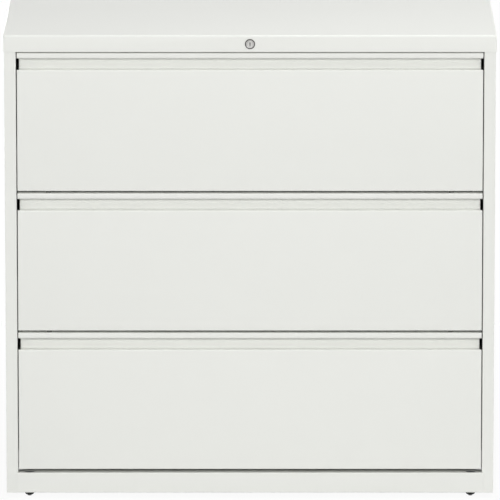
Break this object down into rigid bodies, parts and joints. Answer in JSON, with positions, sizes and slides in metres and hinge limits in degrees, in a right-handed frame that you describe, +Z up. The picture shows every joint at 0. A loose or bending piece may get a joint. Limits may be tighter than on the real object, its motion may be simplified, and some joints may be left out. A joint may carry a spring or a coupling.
{
  "type": "lateral filing cabinet",
  "caption": "Free-standing lateral filing cabinet in folded sheet steel, with wide drawers on telescopic slides, full-width finger pulls, a cam lock and levelling glides.",
  "frame": {"origin": "on the floor, under the middle of the bounding box", "axes": "+X to the right of someone facing the drawers, +Y from the drawer fronts to the back, +Z up"},
  "size_m": [1.0668, 0.4746, 1.0224],
  "materials": {
    "case_paint": "off-white powder coat",
    "drawer_paint": "off-white powder coat",
    "zinc": "bright zinc plate",
    "nickel": "brushed nickel plate",
    "glide_nylon": "black nylon",
    "weight_iron": "mill scale"
  },
  "bodies": {
    "case": {"top_cover": "case_paint", "left_side_panel": "case_paint", "right_side_panel": "case_paint", "back_panel": "case_paint", "base_front_rail": "case_paint", "base_rear_rail": "case_paint", "header_rail": "case_paint", "left_front_upright": "zinc", "left_rear_upright": "zinc", "right_front_upright": "zinc", "right_rear_upright": "zinc", "counterweight": "weight_iron", "lock_housing": "nickel", "top_drawer_left_slide_cabinet_member": "zinc", "top_drawer_right_slide_cabinet_member": "zinc", "middle_drawer_left_slide_cabinet_member": "zinc", "middle_drawer_right_slide_cabinet_member": "zinc", "bottom_drawer_left_slide_cabinet_member": "zinc", "bottom_drawer_right_slide_cabinet_member": "zinc"},
    "top_drawer": {"top_drawer_front": "drawer_paint", "top_drawer_tray": "drawer_paint", "top_drawer_back": "drawer_paint", "top_drawer_left_side": "drawer_paint", "top_drawer_right_side": "drawer_paint", "top_drawer_front_hang_rail": "zinc", "top_drawer_rear_hang_rail": "zinc", "top_drawer_left_slide_drawer_member": "zinc", "top_drawer_right_slide_drawer_member": "zinc"},
    "middle_drawer": {"middle_drawer_front": "drawer_paint", "middle_drawer_tray": "drawer_paint", "middle_drawer_back": "drawer_paint", "middle_drawer_left_side": "drawer_paint", "middle_drawer_right_side": "drawer_paint", "middle_drawer_front_hang_rail": "zinc", "middle_drawer_rear_hang_rail": "zinc", "middle_drawer_left_slide_drawer_member": "zinc", "middle_drawer_right_slide_drawer_member": "zinc"},
    "bottom_drawer": {"bottom_drawer_front": "drawer_paint", "bottom_drawer_tray": "drawer_paint", "bottom_drawer_back": "drawer_paint", "bottom_drawer_left_side": "drawer_paint", "bottom_drawer_right_side": "drawer_paint", "bottom_drawer_front_hang_rail": "zinc", "bottom_drawer_rear_hang_rail": "zinc", "bottom_drawer_left_slide_drawer_member": "zinc", "bottom_drawer_right_slide_drawer_member": "zinc"},
    "top_drawer_middle_members": {"top_drawer_left_slide_middle_member": "zinc", "top_drawer_right_slide_middle_member": "zinc"},
    "middle_drawer_middle_members": {"middle_drawer_left_slide_middle_member": "zinc", "middle_drawer_right_slide_middle_member": "zinc"},
    "bottom_drawer_middle_members": {"bottom_drawer_left_slide_middle_member": "zinc", "bottom_drawer_right_slide_middle_member": "zinc"},
    "lock_plug": {"lock_plug": "nickel", "lock_cam": "zinc"},
    "lock_link": {"lock_link": "zinc"},
    "lock_bar": {"lock_bar": "zinc"},
    "front_left_glide": {"front_left_glide": "glide_nylon"},
    "front_right_glide": {"front_right_glide": "glide_nylon"},
    "rear_left_glide": {"rear_left_glide": "glide_nylon"},
    "rear_right_glide": {"rear_right_glide": "glide_nylon"}
  },
  "joints": [
    {"name": "top_drawer_pull_out", "type": "slide", "parent": "case", "child": "top_drawer", "axis": [0, -1, 0], "range_m": [0, 0.4]},
    {"name": "middle_drawer_pull_out", "type": "slide", "parent": "case", "child": "middle_drawer", "axis": [0, -1, 0], "range_m": [0, 0.4]},
    {"name": "bottom_drawer_pull_out", "type": "slide", "parent": "case", "child": "bottom_drawer", "axis": [0, -1, 0], "range_m": [0, 0.4]},
    {"name": "top_middle_member_run", "type": "slide", "parent": "case", "child": "top_drawer_middle_members", "axis": [0, -1, 0], "range_m": [0, 0.2]},
    {"name": "middle_middle_member_run", "type": "slide", "parent": "case", "child": "middle_drawer_middle_members", "axis": [0, -1, 0], "range_m": [0, 0.2]},
    {"name": "bottom_middle_member_run", "type": "slide", "parent": "case", "child": "bottom_drawer_middle_members", "axis": [0, -1, 0], "range_m": [0, 0.2]},
    {"name": "lock_turn", "type": "hinge", "parent": "case", "child": "lock_plug", "pos_m": [0, -0.2342, 1.0031], "axis": [0, 1, 0], "range_deg": [0, 90]},
    {"name": "lock_link_slide", "type": "slide", "parent": "case", "child": "lock_link", "axis": [-1, 0, 0], "range_m": [0, 0.0106]},
    {"name": "lock_bar_slide", "type": "slide", "parent": "case", "child": "lock_bar", "axis": [0, 0, -1], "range_m": [0, 0.0106]},
    {"name": "front_left_glide_screw", "type": "slide", "parent": "case", "child": "front_left_glide", "axis": [0, 0, -1], "range_m": [0, 0.015]},
    {"name": "front_right_glide_screw", "type": "slide", "parent": "case", "child": "front_right_glide", "axis": [0, 0, -1], "range_m": [0, 0.015]},
    {"name": "rear_left_glide_screw", "type": "slide", "parent": "case", "child": "rear_left_glide", "axis": [0, 0, -1], "range_m": [0, 0.015]},
    {"name": "rear_right_glide_screw", "type": "slide", "parent": "case", "child": "rear_right_glide", "axis": [0, 0, -1], "range_m": [0, 0.015]}
  ],
  "couplings": [
    {"joint": "top_middle_member_run", "follows": "top_drawer_pull_out", "ratio": 0.5},
    {"joint": "middle_middle_member_run", "follows": "middle_drawer_pull_out", "ratio": 0.5},
    {"joint": "bottom_middle_member_run", "follows": "bottom_drawer_pull_out", "ratio": 0.5},
    {"joint": "lock_link_slide", "follows": "lock_bar_slide", "ratio": 1},
    {"joint": "lock_turn", "follows": "lock_bar_slide", "rad_per_m": 148.19}
  ]
}
